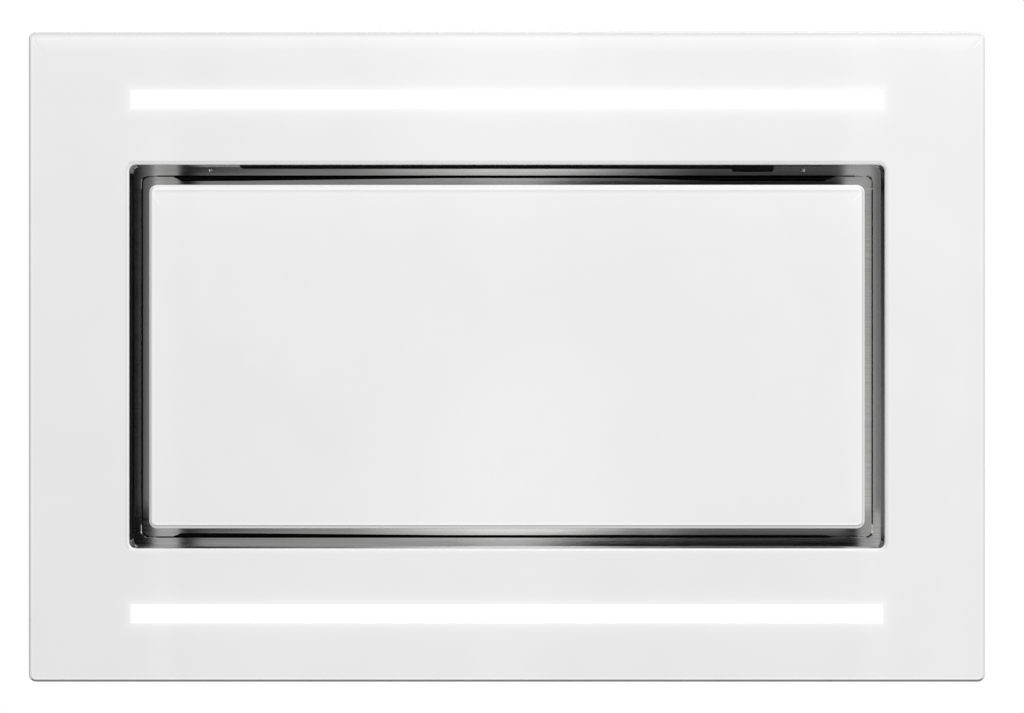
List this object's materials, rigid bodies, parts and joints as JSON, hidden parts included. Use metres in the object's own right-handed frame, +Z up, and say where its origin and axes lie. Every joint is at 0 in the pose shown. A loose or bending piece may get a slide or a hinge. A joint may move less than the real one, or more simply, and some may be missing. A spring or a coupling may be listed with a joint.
{
  "type": "ceiling range hood",
  "caption": "Flush ceiling range hood: white glass frame with a hinged glass panel, edge suction slot, LED strips, grease filters, folded casing and a scroll blower above.",
  "frame": {"origin": "middle of the ceiling flange, on the ceiling plane", "axes": "+Z up into the ceiling, +X along the long side, +Y towards the hinge of the panel"},
  "size_m": [0.9, 0.612, 0.3132],
  "materials": {
    "white_glass": "polished, enamelled white on the back",
    "tape": "foam tape",
    "carrier_steel": "white powder coat",
    "opal": "opal diffuser, lit",
    "aluminium": "satin",
    "circuit_board": "solder mask",
    "stainless": "polished stainless steel",
    "galvanised": "zinc coated sheet",
    "mesh": "expanded aluminium mesh",
    "zinc_steel": "zinc plated",
    "grey_plastic": "moulded",
    "black_plastic": "moulded",
    "white_plastic": "moulded",
    "black_rubber": "moulded",
    "motor_steel": "laminated and painted",
    "blower_steel": "galvanised"
  },
  "bodies": {
    "hood": {"frame_glass": "white_glass", "frame_bond": "tape", "frame_carrier": "carrier_steel", "front_light_lens": "opal", "rear_light_lens": "opal", "front_light_channel": "aluminium", "rear_light_channel": "aluminium", "light_boards": "circuit_board", "recess_surround": "stainless", "filter_deck": "stainless", "left_filter_frame": "aluminium", "right_filter_frame": "aluminium", "left_filter_mesh": "mesh", "right_filter_mesh": "mesh", "hinge_brackets": "zinc_steel", "catch_holders": "zinc_steel", "catch_magnets": "motor_steel", "casing_front": "galvanised", "casing_rear": "galvanised", "casing_left": "galvanised", "casing_right": "galvanised", "casing_top": "galvanised", "hanger_brackets": "zinc_steel", "inlet_ring": "blower_steel", "scroll_base": "blower_steel", "scroll_wrap": "blower_steel", "scroll_lid": "blower_steel", "motor_mount": "aluminium", "motor_dampers": "black_rubber", "motor_screws": "zinc_steel", "motor_bearings": "zinc_steel", "motor_stator": "motor_steel", "motor_cap": "black_plastic", "run_capacitor": "white_plastic", "capacitor_clip": "zinc_steel", "outlet_adapter": "grey_plastic", "outlet_collar": "grey_plastic", "flap_rod": "zinc_steel", "control_box": "white_plastic", "control_lid": "white_plastic", "control_board": "circuit_board", "light_driver": "black_plastic", "terminal_block": "white_plastic", "cable_gland": "grey_plastic"},
    "panel": {"panel_glass": "white_glass", "panel_bond": "tape", "panel_pan": "stainless", "panel_arms": "zinc_steel", "panel_pins": "zinc_steel", "panel_strikes": "zinc_steel"},
    "fan_rotor": {"motor_shaft": "zinc_steel", "rotor_cup": "motor_steel", "impeller": "blower_steel"},
    "damper_left": {"left_flap": "aluminium"},
    "damper_right": {"right_flap": "aluminium"},
    "latch_left": {"left_filter_latch": "black_plastic"},
    "latch_right": {"right_filter_latch": "black_plastic"}
  },
  "joints": [
    {"name": "panel_hinge", "type": "hinge", "parent": "hood", "child": "panel", "pos_m": [0, 0.15175, 0.008], "axis": [1, 0, 0], "range_deg": [0, 90]},
    {"name": "fan_spin", "type": "hinge", "parent": "hood", "child": "fan_rotor", "pos_m": [-0.13, 0.06, 0.2], "axis": [0, 0, 1], "continuous": true},
    {"name": "damper_left_hinge", "type": "hinge", "parent": "hood", "child": "damper_left", "pos_m": [0.129, -0.05875, 0.2015], "axis": [0, 0, -1], "range_deg": [0, 75], "stiffness_Nm_per_rad": 0.02, "springref_deg": -17.19},
    {"name": "damper_right_hinge", "type": "hinge", "parent": "hood", "child": "damper_right", "pos_m": [0.129, -0.05875, 0.2015], "axis": [0, 0, 1], "range_deg": [0, 75], "stiffness_Nm_per_rad": 0.02, "springref_deg": -17.19},
    {"name": "latch_left_slide", "type": "slide", "parent": "hood", "child": "latch_left", "axis": [0, 1, 0], "range_m": [0, 0.006], "stiffness_N_per_m": 400, "springref_m": -0.004},
    {"name": "latch_right_slide", "type": "slide", "parent": "hood", "child": "latch_right", "axis": [0, 1, 0], "range_m": [0, 0.006], "stiffness_N_per_m": 400, "springref_m": -0.004}
  ]
}
